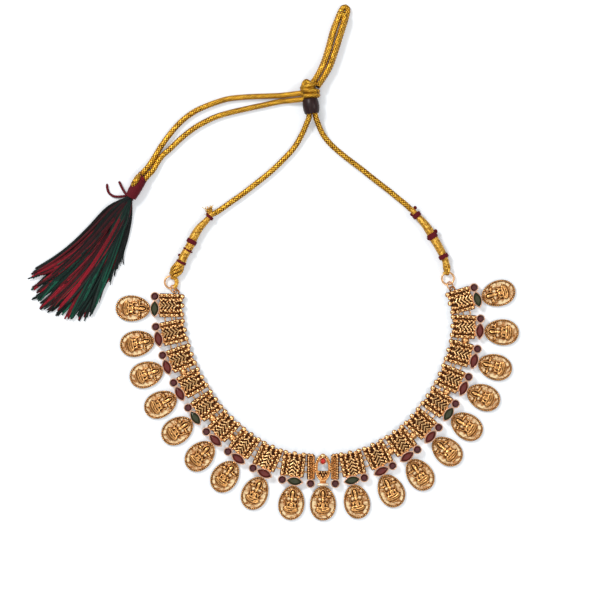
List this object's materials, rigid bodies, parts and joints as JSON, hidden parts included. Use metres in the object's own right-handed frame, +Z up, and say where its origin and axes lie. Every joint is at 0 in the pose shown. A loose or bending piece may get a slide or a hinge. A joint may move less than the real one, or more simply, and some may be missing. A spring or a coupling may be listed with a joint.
{
  "type": "temple jewellery necklace",
  "caption": "Short gold necklace of hinged bead-and-chevron panels with hanging goddess coins and set stones, tied by a braided drawstring cord with a sliding bead and tassel",
  "frame": {"origin": "on the surface that the necklace lies on, under the middle of the metalwork's box", "axes": "+X to the wearer's left as seen lying face up, +Y from the centre coin toward the tie, +Z up out of the coins' faces"},
  "size_m": [0.2458, 0.2575, 0.0084],
  "materials": {
    "antique_gold": "antique gold plating, dark in the recesses, worn bright on the bosses",
    "coin_gold": "pale cream-gold plating with dark antiquing in the recesses",
    "ring_gold": "polished gold wire",
    "garnet": "dark red cut glass",
    "emerald": "bottle green cut glass",
    "ruby": "bright red cut glass",
    "zari_cord": "braided metallic gold thread, satin sheen",
    "zari_thread": "wound metallic gold thread",
    "maroon_thread": "wound silky maroon thread",
    "tassel_thread": "silky crimson, maroon and bottle green strands",
    "dark_wood": "dark polished wood"
  },
  "bodies": {
    "root": {"panel_left_1": "antique_gold", "panel_left_2": "antique_gold", "panel_left_3": "antique_gold", "panel_left_4": "antique_gold", "panel_left_5": "antique_gold", "panel_left_6": "antique_gold", "panel_left_7": "antique_gold", "panel_left_8": "antique_gold", "panel_left_9": "antique_gold", "panel_right_1": "antique_gold", "panel_right_2": "antique_gold", "panel_right_3": "antique_gold", "panel_right_4": "antique_gold", "panel_right_5": "antique_gold", "panel_right_6": "antique_gold", "panel_right_7": "antique_gold", "panel_right_8": "antique_gold", "panel_right_9": "antique_gold", "coin_left_1": "coin_gold", "coin_left_2": "coin_gold", "coin_left_3": "coin_gold", "coin_left_4": "coin_gold", "coin_left_5": "coin_gold", "coin_left_6": "coin_gold", "coin_left_7": "coin_gold", "coin_left_8": "coin_gold", "coin_left_9": "coin_gold", "coin_right_1": "coin_gold", "coin_right_2": "coin_gold", "coin_right_3": "coin_gold", "coin_right_4": "coin_gold", "coin_right_5": "coin_gold", "coin_right_6": "coin_gold", "coin_right_7": "coin_gold", "coin_right_8": "coin_gold", "coin_right_9": "coin_gold", "coin_centre": "coin_gold", "centre_link": "antique_gold", "link_rings_left": "ring_gold", "link_rings_right": "ring_gold", "marquise_garnets": "garnet", "marquise_emeralds": "emerald", "round_garnets_left": "garnet", "round_garnets_right": "garnet", "centre_stone": "ruby", "end_ring_left": "ring_gold", "end_ring_right": "ring_gold", "sleeve_left": "zari_thread", "sleeve_right": "zari_thread", "thread_bands": "maroon_thread", "cord_left": "zari_cord", "cord_right": "zari_cord", "loop_lower": "zari_cord", "loop_upper": "zari_cord", "tail_upper": "zari_cord", "tail_lower": "zari_cord", "slide_bead": "dark_wood", "knot": "zari_cord", "tassel": "tassel_thread"}
  },
  "joints": []
}
